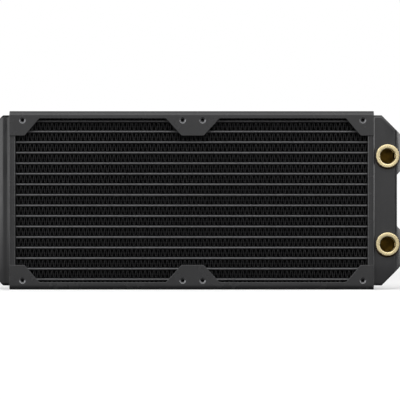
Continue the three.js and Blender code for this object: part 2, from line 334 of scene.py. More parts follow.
def flatten(piece):
    """Keeps the shading of flat faces flat where they meet rounded edges."""
    weighting = piece.modifiers.new("flat_faces", "WEIGHTED_NORMAL")
    weighting.keep_sharp = True
    weighting.weight = 100
    return piece


# ---- Materials -------------------------------------------------------------------------------------

BLACK = (0.0225, 0.0225, 0.0233)
# The tubes' black is the frame's paint drawn lighter, as painted light on the tubes.
TUBE_LIT_BLACK = (0.047, 0.047, 0.049)
THIN_PAINT = (0.13, 0.13, 0.135, 1)  # where the metal shows through
# A darker black for the return tank's top and bottom ends.
DARK_END_BLACK = (0.012, 0.012, 0.012, 1)
# A brown painted shadow round each collar, mostly below it.
COLLAR_SHADOW_BROWN = (0.028, 0.013, 0.002, 1)
# The fins' blacks are the frame's paint drawn much darker, as painted shade deep in the core.
FIN_SHADE_BLACKS = (0.004, 0.004, 0.0042, 1), (0.007, 0.007, 0.0073, 1)
FIN_MIDDLE_LIGHT = (0.03, 0.03, 0.031, 1)  # midway between two tubes: a painted light band, away from the tubes' shade
# Dust on the fins' edges, drawn lighter than dust alone as painted light.
FIN_DUST_AND_LIGHT = (0.07, 0.07, 0.072, 1)
BRIGHT_BRASS = (0.86, 0.73, 0.44, 1)
TARNISHED_BRASS = (0.8, 0.66, 0.38, 1)
# Paint on the collars' rims, drawn darker than the tank's paint as painted shadow.
BRASS_PAINT_AND_SHADOW = (0.012, 0.007, 0.003, 1)
ROLLED_BRASS = (0.19, 0.11, 0.018, 1)
STAINED_BRASS = (0.12, 0.07, 0.012, 1)
FIN_LIGHT_BAND = 0.3 * MM, 0.9 * MM  # from a strip's middle, where its painted light band fades out
FIN_DUST_AND_LIGHT_RISE = 0.6 * MM, 1.5 * MM  # where the edges' dust and painted light rise to full strength
FIN_SHADED = 2.1 * MM, 2.8 * MM  # where painted shade beside a tube darkens them again
LATHE_PITCH = 0.12 * MM
GRAIN_DEPTH = 0.03 * MM  # of the powder coat's pebbles


def add_node(tree, kind, inputs=None, **settings):
    """A shader node with its settings, and each input given a value or a link."""
    added = tree.nodes.new(kind)
    for key, value in settings.items():
        setattr(added, key, value)
    for key, value in (inputs or {}).items():
        if isinstance(value, bpy.types.NodeSocket):
            tree.links.new(value, added.inputs[key])
        else:
            added.inputs[key].default_value = value
    return added


def calculated(tree, operation, *values):
    """A number worked out from one or two others."""
    inputs = dict(enumerate(values))
    return add_node(tree, "ShaderNodeMath", inputs, operation=operation).outputs[0]


def vector_calculated(tree, operation, output, *values):
    """A vector or a number worked out from one or two vectors."""
    inputs = dict(enumerate(values))
    return add_node(tree, "ShaderNodeVectorMath", inputs, operation=operation).outputs[output]


def bumped(tree, strength, depth, height):
    """The surface's normal, made uneven by a height that runs from 0 to 1 over the given depth."""
    inputs = {"Strength": strength, "Distance": depth, "Height": height}
    return add_node(tree, "ShaderNodeBump", inputs).outputs["Normal"]


def noise(tree, place_socket, scale, detail=3.0):
    inputs = {"Vector": place_socket, "Scale": scale, "Detail": detail}
    return add_node(tree, "ShaderNodeTexNoise", inputs).outputs["Fac"]


def remap(tree, value, low, high, to_low, to_high):
    inputs = {"Value": value, "From Min": low, "From Max": high, "To Min": to_low, "To Max": to_high}
    return add_node(tree, "ShaderNodeMapRange", inputs).outputs["Result"]


def mix(tree, factor, first, second):
    """A colour mix; the numbered sockets are the colour ones."""
    inputs = {0: factor, 6: first, 7: second}
    return add_node(tree, "ShaderNodeMix", inputs, data_type="RGBA").outputs[2]


def scaled(colour, factor):
    return tuple(channel * factor for channel in colour) + (1.0,)


def edge_mask(tree, radius):
    """1 on edges sharper than the radius, 0 on flats."""
    bevel = add_node(tree, "ShaderNodeBevel", {"Radius": radius}, samples=6)
    flat = add_node(tree, "ShaderNodeNewGeometry").outputs["Normal"]
    likeness = vector_calculated(tree, "DOT_PRODUCT", "Value", bevel.outputs["Normal"], flat)
    return remap(tree, likeness, 0.995, 0.90, 0.0, 1.0)


def new_material(name):
    material = bpy.data.materials.new(name)
    material.use_nodes = True
    tree = material.node_tree
    tree.nodes.clear()
    output = add_node(tree, "ShaderNodeOutputMaterial")
    surface = add_node(tree, "ShaderNodeBsdfPrincipled")
    tree.links.new(surface.outputs["BSDF"], output.inputs["Surface"])
    return material, tree, surface


def connect(tree, surface, **sockets):
    """Links or sets the surface's inputs, whose names are given with _ for a space."""
    for key, value in sockets.items():
        target = surface.inputs[key.replace("_", " ")]
        if isinstance(value, bpy.types.NodeSocket):
            tree.links.new(value, target)
        else:
            target.default_value = value


def collar_shadow_mask(tree, position):
    """1 on a brown painted shadow round each collar, mostly below it where the proud collar shades the tank;
    0 elsewhere.
    """
    rings = []
    for side in (1, -1):
        centre = MIDDLE + Vector((PORT.x, 0, side * PORT.z))
        offset = vector_calculated(tree, "SUBTRACT", 0, position, centre)
        flat = vector_calculated(tree, "MULTIPLY", 0, offset, (1, 0, 1))
        away = vector_calculated(tree, "LENGTH", "Value", flat)
        axes = add_node(tree, "ShaderNodeSeparateXYZ", {0: offset}).outputs
        near = remap(tree, away, COLLAR_RADIUS + COLLAR_SHADOW_WIDTH / 2, COLLAR_RADIUS + COLLAR_SHADOW_WIDTH, 1.0, 0.0)
        low = remap(tree, axes["Z"], -0.8 * COLLAR_RADIUS, 0.3 * COLLAR_RADIUS, 1.0, 0.1)
        front = remap(tree, axes["Y"], -TANK_DEPTH / 4, 0.0, 1.0, 0.0)
        ring = calculated(tree, "MULTIPLY", near, low)
        rings.append(calculated(tree, "MULTIPLY", ring, front))
    return calculated(tree, "ADD", *rings)


def dark_end_mask(tree, position):
    """1 on the top and bottom ends of the return tank, which are drawn darker and less glossy; 0 elsewhere.
    """
    offset = vector_calculated(tree, "SUBTRACT", 0, position, MIDDLE)
    axes = add_node(tree, "ShaderNodeSeparateXYZ", {0: offset}).outputs
    height = calculated(tree, "ABSOLUTE", axes["Z"])
    start = TANK_HEIGHT / 2 - DARK_END
    high = remap(tree, height, start, start + 0.2 * DARK_END, 0.0, 1.0)
    past = remap(tree, axes["X"], -FRAME_END - 0.9 * MM, -FRAME_END - 0.5 * MM, 1.0, 0.0)
    return calculated(tree, "MULTIPLY", high, past)


def powder_coat(
    name, colour, roughness, edge_lightening, edge_width=0.5 * MM, grain=GRAIN_DEPTH, specular=0.4, collar_shadows_and_dark_ends=False
):
    """Black powder coat: a fine pebbled skin, uneven sheen, and a lighter colour along edges, partly thinner
    paint there and partly a painted highlight.

    For the tanks it also adds a brown painted shadow round each collar, and darker, less glossy ends.
    """
    material, tree, surface = new_material(name)
    position = add_node(tree, "ShaderNodeNewGeometry").outputs["Position"]
    cloud = noise(tree, position, 22.0, 4.0)
    pebbles = noise(tree, position, 1500.0, 2.0)
    sheen = noise(tree, position, 90.0, 3.0)
    tone = remap(tree, cloud, 0.3, 0.7, 0.0, 1.0)
    even = mix(tree, tone, scaled(colour, 0.86), scaled(colour, 1.14))
    speckled = mix(tree, remap(tree, pebbles, 0.45, 0.75, 0.0, 0.5), even, scaled(colour, 1.35))
    # Edges are drawn lighter: partly thinner paint, partly a painted highlight along them.
    edges = edge_mask(tree, edge_width)
    coat_colour = mix(tree, edges, speckled, scaled(colour, edge_lightening))
    thin = add_node(tree, "ShaderNodeAttribute", attribute_name="thin_paint").outputs["Fac"]
    coat_colour = mix(tree, thin, coat_colour, THIN_PAINT)
    if collar_shadows_and_dark_ends:
        # A brown painted shadow round each collar, mostly below it.
        collar_shadow = collar_shadow_mask(tree, position)
        coat_colour = mix(tree, collar_shadow, coat_colour, COLLAR_SHADOW_BROWN)
        # The return tank's top and bottom ends are drawn darker and less glossy.
        dark_ends = dark_end_mask(tree, position)
        coat_colour = mix(tree, dark_ends, coat_colour, DARK_END_BLACK)
        specular = remap(tree, calculated(tree, "MAXIMUM", collar_shadow, dark_ends), 0.0, 1.0, specular, 0.02)
    gloss = remap(tree, sheen, 0.3, 0.7, roughness - 0.05, roughness + 0.06)
    graze = add_node(tree, "ShaderNodeLayerWeight", {"Blend": 0.5}).outputs["Facing"]
    dulling = remap(tree, graze, 0.5, 0.92, 0.0, 0.4)
    connect(
        tree,
        surface,
        Base_Color=coat_colour,
        Metallic=remap(tree, thin, 0.0, 1.0, 0.0, 0.75),
        Roughness=calculated(tree, "ADD", gloss, dulling),
        Normal=bumped(tree, 0.5, grain, pebbles),
        Specular_IOR_Level=specular,
    )
    return material


def fin_coat():
    """Matt black on the folded fins, with dust and painted light on their front and rear edges, a painted
    light band midway between tubes, and painted shade beside the tubes.
    """
    material, tree, surface = new_material("fin_paint")
    local = add_node(tree, "ShaderNodeTexCoord").outputs["Object"]
    axes = add_node(tree, "ShaderNodeSeparateXYZ", {0: local}).outputs
    depth = calculated(tree, "ABSOLUTE", axes["Y"])
    height = calculated(tree, "ABSOLUTE", axes["Z"])
    edge = remap(tree, depth, FIN_DEPTH / 2 - 0.5 * MM, FIN_DEPTH / 2 - 0.3 * MM, 0.0, 1.0)
    # The edges' mark is partly dust and partly painted light; beside each tube it fades into painted shade.
    middle = remap(tree, height, *FIN_DUST_AND_LIGHT_RISE, 0.5, 1.0)
    tube_shade = remap(tree, height, *FIN_SHADED, 1.0, 0.15)
    free = calculated(tree, "MULTIPLY", middle, tube_shade)
    patchy = remap(tree, noise(tree, local, 500.0, 4.0), 0.3, 0.7, 0.6, 1.0)
    dust_and_light = calculated(tree, "MULTIPLY", calculated(tree, "MULTIPLY", edge, free), patchy)
    grain = noise(tree, local, 2500.0, 2.0)
    # A painted light band along the middle of each strip, away from the tubes' shade.
    band = remap(tree, height, *FIN_LIGHT_BAND, 1.0, 0.0)
    coat = mix(tree, band, mix(tree, grain, *FIN_SHADE_BLACKS), FIN_MIDDLE_LIGHT)
    connect(
        tree,
        surface,
        Base_Color=mix(tree, dust_and_light, coat, FIN_DUST_AND_LIGHT),
        Roughness=remap(tree, grain, 0.3, 0.7, 0.45, 0.6),
        Normal=bumped(tree, 0.4, 0.01 * MM, grain),
        Specular_IOR_Level=remap(tree, dust_and_light, 0.0, 1.0, 0.05, 0.35),
    )
    return material


def turned_brass():
    """Bright machined brass with fine rings from the lathe, slight tarnish, and paint over its rim, drawn
    darker than the tank's paint and wider below as painted shadow.
    """
    material, tree, surface = new_material("turned_brass")
    local = add_node(tree, "ShaderNodeTexCoord").outputs["Object"]
    height = add_node(tree, "ShaderNodeSeparateXYZ", {0: local}).outputs["Z"]
    flat = vector_calculated(tree, "MULTIPLY", 0, local, (1, 0, 1))
    radius = vector_calculated(tree, "LENGTH", "Value", flat)
    rings = calculated(tree, "SINE", calculated(tree, "MULTIPLY", radius, 2 * math.pi / LATHE_PITCH))
    tarnish = remap(tree, noise(tree, local, 260.0, 4.0), 0.35, 0.7, 0.0, 1.0)
    metal = mix(tree, tarnish, BRIGHT_BRASS, TARNISHED_BRASS)
    ragged = remap(tree, noise(tree, local, 900.0), 0.3, 0.7, -0.1 * MM, 0.1 * MM)
    # Painted shadow: the dark band reaches further in below the collar's middle.
    shadow_widening = remap(tree, height, -COLLAR_RADIUS, COLLAR_RADIUS, 0.5 * MM, -0.3 * MM)
    rim = calculated(tree, "ADD", calculated(tree, "ADD", radius, ragged), shadow_widening)
    painted = remap(tree, rim, PAINTED_RADIUS - 0.1 * MM, PAINTED_RADIUS + 0.1 * MM, 0.0, 1.0)
    connect(
        tree,
        surface,
        Base_Color=mix(tree, painted, metal, BRASS_PAINT_AND_SHADOW),
        Metallic=remap(tree, painted, 0.0, 1.0, 1.0, 0.2),
        Roughness=remap(tree, noise(tree, local, 700.0, 2.0), 0.3, 0.7, 0.22, 0.32),
        Normal=bumped(tree, 0.15, 0.006 * MM, rings),
    )
    return material


def sheet_brass():
    """Dull rolled brass with solder stains, as inside the tank."""
    material, tree, surface = new_material("sheet_brass")
    position = add_node(tree, "ShaderNodeNewGeometry").outputs["Position"]
    stains = remap(tree, noise(tree, position, 180.0, 5.0), 0.4, 0.65, 0.0, 1.0)
    connect(
        tree,
        surface,
        Base_Color=mix(tree, stains, ROLLED_BRASS, STAINED_BRASS),
        Metallic=1.0,
        Roughness=remap(tree, stains, 0.0, 1.0, 0.38, 0.6),
        Normal=bumped(tree, 0.3, 0.03 * MM, noise(tree, position, 900.0)),
    )
    return material


MATERIALS = {
    "frame_paint": powder_coat("frame_paint", BLACK, 0.24, 3.5),
    "header_paint": powder_coat("header_paint", BLACK, 0.24, 3.5, edge_width=0.9 * MM),
    "tank_paint": powder_coat("tank_paint", BLACK, 0.2, 3.0, collar_shadows_and_dark_ends=True),
    "tube_paint": powder_coat("tube_paint", TUBE_LIT_BLACK, 0.26, 1.4, grain=0.015 * MM, specular=0.55),
    "fin_paint": fin_coat(),
    "brass": turned_brass(),
    "sheet_brass": sheet_brass(),
}


# ---- Side panels -----------------------------------------------------------------------------------


def channel_outline():
    """The channel's section in (y, z), open downwards, its flanges as long as the tabs."""
    y = FRAME_DEPTH / 2
    lip = FRAME_TOP - TAB_REACH
    bends = [(y - PANEL_BEND, FRAME_TOP - PANEL_BEND), (PANEL_BEND - y, FRAME_TOP - PANEL_BEND)]
    inner = PANEL_BEND - PANEL_SHEET
    return (
        [(y, lip)]
        + arc(bends[0], PANEL_BEND, 0, 90, 10)
        + arc(bends[1], PANEL_BEND, 90, 180, 10)
        + [(-y, lip), (PANEL_SHEET - y, lip)]
        + arc(bends[1], inner, 180, 90, 6)
        + arc(bends[0], inner, 90, 0, 6)
        + [(y - PANEL_SHEET, lip)]
    )


def tab_notch(side):
    """The opening between a corner tab and the centre tab, with small radii at its corners."""
    hole = (FAN_PITCH + FAN_HOLES) / 2
    root = FRAME_TOP - FLANGE_DEPTH
    tip = FRAME_TOP - TAB_REACH
    below = tip - 4 * OVERCUT
    past = 3 * TAB_CORNER  # how far the outline runs along under the tabs' tips
    tip -= CLEARANCE
    corners = [
        (CENTRE_TAB_ROOT, root),
        (CENTRE_TAB_TIP, tip),
        (CENTRE_TAB_TIP - past, tip),
        (CENTRE_TAB_TIP - past, below),
        (hole - CORNER_TAB_TIP + past, below),
        (hole - CORNER_TAB_TIP + past, tip),
        (hole - CORNER_TAB_TIP, tip),
        (hole - CORNER_TAB_ROOT, root),
    ]
    outline = with_round_corners([(FAN_CENTRE + side * x, z) for x, z in corners], TAB_CORNER)
    return prism_y(outline, -FRAME_DEPTH, FRAME_DEPTH)


def screw_places():
    """(x, turn) of each fan screw hole of one panel, front and rear."""
    places = []
    for fan in (-0.5, 0.5):
        for hole in (-0.5, 0.5):
            for turn in (0, math.pi):
                places.append((FAN_CENTRE + fan * FAN_PITCH + hole * FAN_HOLES, turn))
    return places


def at_screws(shape):
    return together([moved(shape, (x, 0, FAN_HOLES / 2), turn) for x, turn in screw_places()])


def drawn_collar():
    """The metal that the press pushes in behind a screw hole."""
    inside = PANEL_SHEET - FRAME_DEPTH / 2
    profile = [(DRAWN_RADIUS, inside - PANEL_SHEET / 2), (DRAWN_RADIUS, inside)]
    profile += [(DRAWN_RADIUS - 0.8 * DRAWN_EDGE, inside + DRAWN_EDGE)]
    profile += [(SCREW_RADIUS + DRAWN_TIP_WALL, inside + DRAWN_LENGTH)]
    return solid_turned(profile)


def screw_cutter():
    """The dimple with its rolled edge, and the threaded hole behind it."""
    face = -FRAME_DEPTH / 2
    profile = [(DIMPLE_RADIUS + ROLLED_EDGE, face - OVERCUT), (DIMPLE_RADIUS + ROLLED_EDGE, face)]
    profile += [(DIMPLE_RADIUS, face + ROLLED_EDGE / 4), (DIMPLE_RADIUS - ROLLED_EDGE, face + ROLLED_EDGE)]
    profile += [(SCREW_RADIUS + SCREW_THREAD, face + DIMPLE_DEPTH)]
    y = face + DIMPLE_DEPTH
    end = face + PANEL_SHEET + DRAWN_LENGTH
    while y + SCREW_PITCH < end:
        profile += [(SCREW_RADIUS, y + SCREW_PITCH / 2), (SCREW_RADIUS + SCREW_THREAD, y + SCREW_PITCH)]
        y += SCREW_PITCH
    profile += [(SCREW_RADIUS, end), (SCREW_RADIUS, end + OVERCUT)]
    return solid_turned(profile)


def mark_thin_paint(panel):
    """Marks the dimples and the first turn of thread, where the screws have rubbed the paint thin."""
    rim = DIMPLE_RADIUS + ROLLED_EDGE
    axes = {x for x, _ in screw_places()}
    marks = []
    for face in panel.polygons:
        x, y, z = face.center
        in_dimple = min(math.hypot(x - axis, z - FAN_HOLES / 2) for axis in axes) < rim
        depth = FRAME_DEPTH / 2 - abs(y)
        rubbed = in_dimple and 0.01 * MM < depth < DIMPLE_DEPTH + SCREW_PITCH
        marks.append(1.0 if rubbed else 0.0)
    panel.attributes.new("thin_paint", "FLOAT", "FACE").data.foreach_set("value", marks)


def side_panels():
    channel = combined(
        "side_panel",
        prism_x(channel_outline(), -FRAME_END, FRAME_END),
        ("DIFFERENCE", together([tab_notch(-1), tab_notch(1)])),
    )
    panel = combined(
        "side_panel",
        with_round_edges(channel, PANEL_EDGE),
        ("UNION", at_screws(drawn_collar())),
        ("DIFFERENCE", at_screws(screw_cutter())),
    )
    smooth(panel)
    mark_thin_paint(panel)
    flatten(place("upper_side_channel", panel, "top_side_panel", "frame_paint"))
    bottom = flatten(place("lower_side_channel", panel, "bottom_side_panel", "frame_paint"))
    bottom.rotation_euler.x = math.pi


# ---- Core ------------------------------------------------------------------------------------------


def tube_height(number):
    return (number - (TUBE_COUNT + 1) / 2) * TUBE_PITCH


def nosed_outline(half_width, half_height, nose):
    """A flat tube's outline in (y, z), with elliptical noses."""
    points = []
    for side in (1, -1):
        for angle in np.linspace(-math.pi / 2, math.pi / 2, 13):
            y = half_width - nose + nose * math.cos(angle)
            points.append((side * y, side * half_height * math.sin(angle)))
    return points


def flat_tubes():
    outer = nosed_outline(TUBE_WIDTH / 2, TUBE_THICKNESS / 2, TUBE_NOSE)
    inner = nosed_outline(TUBE_WIDTH / 2 - TUBE_WALL, TUBE_THICKNESS / 2 - TUBE_WALL, TUBE_NOSE - TUBE_WALL)
    ends = (-TUBE_LENGTH / 2, TUBE_LENGTH / 2)
    loops = [[(x, y, z) for y, z in outer] for x in ends]
    loops += [[(x, y, z) for y, z in inner] for x in reversed(ends)]
    tube = smooth(mesh_of("flat_tube", tube_of_loops(loops, capped=False)), 50)
    for number in range(1, TUBE_COUNT + 1):
        offset = (0, 0, tube_height(number))
        place(f"water_tube_{number:02d}", tube, f"tube_{number:02d}", "tube_paint", offset)


def fin_path(length, height, first_side):
    """The strip's middle line in (x, z) as a list of folds, each an arc that meets straight legs."""
    spacing = length / (2 * FIN_FOLDS)
    centre_height = (height - FIN_SHEET) / 2 - FOLD_RADIUS
    between = math.hypot(spacing, 2 * centre_height)
    lean = math.atan2(spacing, 2 * centre_height) - math.asin(2 * FOLD_RADIUS / between)
    steps = 4
    folds = []
    for i in range(2 * FIN_FOLDS + 1):
        side = first_side * (1 if i % 2 else -1)
        x = -length / 2 + i * spacing
        sweep = np.linspace(lean - math.pi / 2, math.pi / 2 - lean, steps + 1)
        folds.append(
            [
                (x + FOLD_RADIUS * math.sin(a), side * (centre_height + FOLD_RADIUS * math.cos(a)))
                for a in sweep
            ]
        )
    return folds


def ribbon(path, front, back):
    """A sheet of even thickness that follows the path, between two depths."""
    points = np.array(path)
    ahead = np.diff(points, axis=0)
    ahead = ahead / np.linalg.norm(ahead, axis=1, keepdims=True)
    along = np.vstack([ahead[:1], ahead[:-1] + ahead[1:], ahead[-1:]])
    along = along / np.linalg.norm(along, axis=1, keepdims=True)
    across = np.column_stack([-along[:, 1], along[:, 0]]) * FIN_SHEET / 2
    loops = []
    for (left_x, left_z), (right_x, right_z) in zip(points + across, points - across):
        left = [(left_x, front, left_z), (left_x, back, left_z)]
        right = [(right_x, back, right_z), (right_x, front, right_z)]
        loops.append(left + right)
    return tube_of_loops(loops)


def louvres(start, end, spacing, height, depths, way):
    """The slats of one leg, which runs from start to end in (x, z).

    Seen from the front they widen with the channel beside the leg and reach just past its middle.
    """
    slope = (end[0] - start[0]) / (end[1] - start[1])
    middle_x = (start[0] + end[0]) / 2
    side = math.copysign(1, slope)
    across = math.cos(math.atan(slope))
    wide = LOUVRE_OVERLAP * spacing / 2
    narrow = LOUVRE_OVERLAP * FOLD_RADIUS
    outline = [(-height, wide), (0, wide), (height, narrow), (height, -wide), (0, -wide), (-height, -narrow)]
    half_sheet = LOUVRE_SHEET / 2
    slats = []
    for depth in depths:
        loops = []
        for face in (-half_sheet, half_sheet):
            loop = []
            for z, offset in outline:
                x = middle_x + z * slope + side * (offset - face * math.cos(LOUVRE_ANGLE))
                y = depth - way * (offset * across / math.tan(LOUVRE_ANGLE) + face * math.sin(LOUVRE_ANGLE))
                loop.append((x, y, z))
            loops.append(loop)
        slats.append(tube_of_loops(loops))
    return slats


def fin_strip(height):
    """Two halves, front and rear, with the folds of one between those of the other."""
    core_end = FRAME_END - HEADER_DEPTH
    length = 2 * (core_end - FOLD_RADIUS) - FIN_SHEET
    spacing = length / (2 * FIN_FOLDS)
    half_depth = FIN_DEPTH / 2 - FIN_GAP / 2
    slat_height = height / 2 - CLEARANCE
    slat_depth = LOUVRE_OVERLAP * spacing / math.tan(LOUVRE_ANGLE)
    pitch = (half_depth - slat_depth - LOUVRE_SETBACK - FIN_SHEET) / (LOUVRES - 0.5)
    shapes = []
    for way in (-1, 1):
        middle = way * (FIN_GAP + half_depth) / 2
        folds = fin_path(length, height, way)
        path = [point for fold in folds for point in fold]
        shapes.append(ribbon(path, middle - half_depth / 2, middle + half_depth / 2))
        for i, (fold, following) in enumerate(zip(folds, folds[1:])):
            stagger = pitch / 4 if i % 2 else -pitch / 4
            first = middle - way * (LOUVRE_SETBACK - FIN_SHEET) / 2 + stagger
            depths = [first + (number - (LOUVRES - 1) / 2) * pitch for number in range(LOUVRES)]
            shapes += louvres(fold[-1], following[0], spacing, slat_height, depths, way)
    # Between the halves a tab at each end closes the last channel.
    tab = FIN_GAP / 4
    for end in (-1, 1):
        outline = [(-tab, -slat_height), (tab, -slat_height), (tab, slat_height), (-tab, slat_height)]
        near, far = sorted([end * (length / 2 - spacing), end * (core_end - CLEARANCE)])
        shapes.append(prism_x(outline, near, far))
    return smooth(mesh_of("fin_strip", together(shapes)), 45)


def fin_strips():
    between = TUBE_PITCH - TUBE_THICKNESS
    beside = FRAME_TOP - PANEL_SHEET - tube_height(TUBE_COUNT) - TUBE_THICKNESS / 2
    inner = fin_strip(between)
    outer = fin_strip(beside)
    for number in range(1, TUBE_COUNT + 2):
        if number == 1:
            mesh, z = outer, tube_height(1) - (TUBE_THICKNESS + beside) / 2
        elif number > TUBE_COUNT:
            mesh, z = outer, tube_height(TUBE_COUNT) + (TUBE_THICKNESS + beside) / 2
        else:
            mesh, z = inner, tube_height(number) - TUBE_PITCH / 2
        place(f"folded_fin_{number:02d}", mesh, f"fin_strip_{number:02d}", "fin_paint", (0, 0, z))


def header_plates():
    """Trays with a slot for each tube, their rims towards the tanks."""
    half_y = (HEADER_HIGH.y - HEADER_LOW.y) / 2
    half_z = (HEADER_HIGH.z - HEADER_LOW.z) / 2
    core_side = FRAME_END - HEADER_DEPTH
    tank_side = core_side + HEADER_SHEET
    sections = []
    for angle in np.radians(np.linspace(0, 90, 9)):
        drop = HEADER_BEND * (1 - math.sin(angle))
        x = core_side + HEADER_BEND * (1 - math.cos(angle))
        sections.append((x, half_y - drop, half_z - drop, HEADER_CORNER - drop, 0))
    sections.append((FRAME_END - HEADER_RIM, half_y, half_z, HEADER_CORNER, 0))
    drop = HEADER_RIM * math.tan(HEADER_RIM_SLOPE)
    sections.append((FRAME_END, half_y - drop, half_z - drop, HEADER_CORNER - drop, 0))
    hollow = rounded_rectangle(half_y - HEADER_SHEET, half_z - HEADER_SHEET, HEADER_CORNER - HEADER_SHEET)
    slot_half = TUBE_THICKNESS / 2 + SLOT_ROOM
    slot = rounded_rectangle(TUBE_WIDTH / 2 + SLOT_ROOM, slot_half, slot_half)
    slots = [
        moved(prism_x(slot, core_side - OVERCUT, tank_side + OVERCUT), (0, 0, tube_height(number)))
        for number in range(1, TUBE_COUNT + 1)
    ]
    tray = combined(
        "header_plate",
        lofted(sections),
        ("DIFFERENCE", prism_x(hollow, tank_side, FRAME_END + OVERCUT)),
        ("DIFFERENCE", together(slots)),
    )
    smooth(tray)
    flatten(place("port_header", tray, "port_header_plate", "header_paint"))
    far = flatten(place("return_header", tray, "return_header_plate", "header_paint"))
    far.rotation_euler.z = math.pi


# ---- Tanks -----------------------------------------------------------------------------------------


def return_tank_sections(inset):
    """The D-shaped tank's sections from its mouth to its end."""
    steps = 14
    round_start = FRAME_END + RETURN_SLOPE
    end = FRAME_END + RETURN_REACH - inset
    across = TANK_DEPTH / 2 - inset
    behind_lip = across - RETURN_LIP * math.tan(RETURN_LIP_SLOPE)
    reduced = behind_lip - (RETURN_SLOPE - RETURN_LIP) * math.tan(RETURN_SLOPE_ANGLE)
    places = [(TANK_MOUTH, across), (FRAME_END, across), (FRAME_END + RETURN_LIP, behind_lip)]
    first, last = math.sin(RETURN_FIRST_ANGLE), math.sin(RETURN_LAST_ANGLE)
    for angle in np.linspace(RETURN_FIRST_ANGLE, RETURN_LAST_ANGLE, steps + 1):
        share = (math.sin(angle) - first) / (last - first)
        fallen = math.cos(angle) / math.cos(RETURN_FIRST_ANGLE)
        places.append((round_start + (end - round_start) * share, reduced * fallen))
    sections = []
    for x, half_y in places:
        slant = max(0.0, x - FRAME_END - RETURN_STRAIGHT)
        corner = min(TANK_EDGE, half_y - 0.5 * MM)
        sections.append((x, half_y, TANK_HEIGHT / 2 - inset - slant, corner, 0))
    return sections


def return_tank():
    """One shell from the inside's end, round the mouth, to the outside's end."""
    shell = lofted(return_tank_sections(TANK_WALL)[::-1] + return_tank_sections(0))
    tank = smooth(mesh_of("return_tank_shell", shell), 40)
    piece = place("return_end_tank", tank, "return_tank", "tank_paint")
    piece.rotation_euler.z = math.pi


def pan(inset):
    """The port tank's pan, or its hollow, with softened 45 degree edges round its closed end."""
    straight_end = FRAME_END + PORT_TANK_STRAIGHT
    end = FRAME_END + PORT_TANK_REACH - inset
    edge = TANK_EDGE - inset
    half_y = TANK_DEPTH / 2 - inset
    half_z = TANK_HEIGHT / 2 - inset
    start = TANK_MOUTH - (OVERCUT if inset else 0)
    mitre = inset * (math.sqrt(2) - 1)  # where an inset 45 degree corner begins
    sections = [(start, half_y, half_z, edge, 0), (FRAME_END, half_y, half_z, edge, 0)]
    if not inset:
        sections.append((FRAME_END + CREASE, half_y - CREASE / 2, half_z, edge, 0))
        half_y -= PORT_LIP * math.tan(PORT_LIP_SLOPE)
        sections.append((FRAME_END + PORT_LIP - CREASE, half_y + CREASE / 2, half_z, edge, 0))
    sections.append((FRAME_END + PORT_LIP, half_y, half_z, edge, 0))
    sections.append((FRAME_END + PORT_LIP + CREASE, half_y, half_z, edge, 0))
    sections.append((straight_end - mitre, half_y, half_z, edge, 0))
    radius = TANK_EDGE_ROUND * edge
    reach = radius * math.tan(math.pi / 8)
    rounds = [
        (end - edge - reach, 0.0, np.radians(np.linspace(0, 45, 5))),
        (end - radius, edge + reach - radius, np.radians(np.linspace(45, 90, 5))),
    ]
    places = [
        (before + radius * math.sin(angle), above + radius * (1 - math.cos(angle)))
        for before, above, angles in rounds
        for angle in angles
    ]
    for x, drop in places:
        slant = x - straight_end + mitre
        corner = max(edge - drop, TANK_LEAST_EDGE)
        sections.append((x, half_y - drop, half_z - slant, corner, 0))
    return lofted(sections)


def bulge(side, inset):
    """Room for one collar: a lump on the tank's end that slopes in on all sides."""
    end = FRAME_END + PORT_TANK_REACH
    outer_end = TANK_HEIGHT / 2 - (PORT_TANK_REACH - PORT_TANK_STRAIGHT)
    slope_start = end - inset * (math.sqrt(2) - 1)
    tip = FRAME_END + BULGE_REACH - inset
    half_y = TANK_DEPTH / 2 - TANK_EDGE - inset
    half_z = (outer_end - BULGE_INNER_END) / 2 - inset
    z = side * (outer_end + BULGE_INNER_END) / 2
    slope = tip - slope_start
    steeper = math.tan(BULGE_FRONT_SLOPE)
    round_off = BULGE_ROUND_OFF
    return lofted(
        [
            (end - 3 * TANK_WALL, half_y, half_z, BULGE_CORNER, z),
            (slope_start, half_y, half_z, BULGE_CORNER, z),
            (
                tip - round_off,
                half_y - (slope - round_off) * steeper,
                half_z - slope + round_off,
                BULGE_CORNER,
                z,
            ),
            (tip, half_y - (slope + round_off) * steeper, half_z - slope - round_off, BULGE_CORNER, z),
        ]
    )


def port_tank():
    """The painted shell, and the bare brass that shows inside it through the ports."""
    sides = (-1, 1)
    radius = COLLAR_RADIUS + COLLAR_ROOM
    drill = solid_turned([(radius, -FRAME_DEPTH), (radius, -COLLAR_BACK)], 96)
    holes = together([moved(drill, (PORT.x, 0, side * PORT.z)) for side in sides])

    def cut_hollow(inset):
        return [
            ("DIFFERENCE", pan(inset)),
            ("DIFFERENCE", together([bulge(side, inset) for side in sides])),
        ]

    def joined_bulges(inset):
        return [("UNION", together([bulge(side, inset) for side in sides]))]

    shell = combined(
        "port_tank_shell", pan(0), *joined_bulges(0), *cut_hollow(TANK_WALL), ("DIFFERENCE", holes)
    )
    place("port_end_tank", smooth(shell), "port_tank", "tank_paint")
    outside = TANK_WALL + LINING_GAP
    lining = combined(
        "port_tank_lining",
        pan(outside),
        *joined_bulges(outside),
        *cut_hollow(outside + LINING),
        ("DIFFERENCE", holes),
    )
    place("port_tank_lining", smooth(lining), "port_tank", "sheet_brass")
    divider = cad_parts["tank_divider"].data
    divider.materials.clear()
    divider.materials.append(MATERIALS["sheet_brass"])


# ---- Port collars ----------------------------------------------------------------------------------


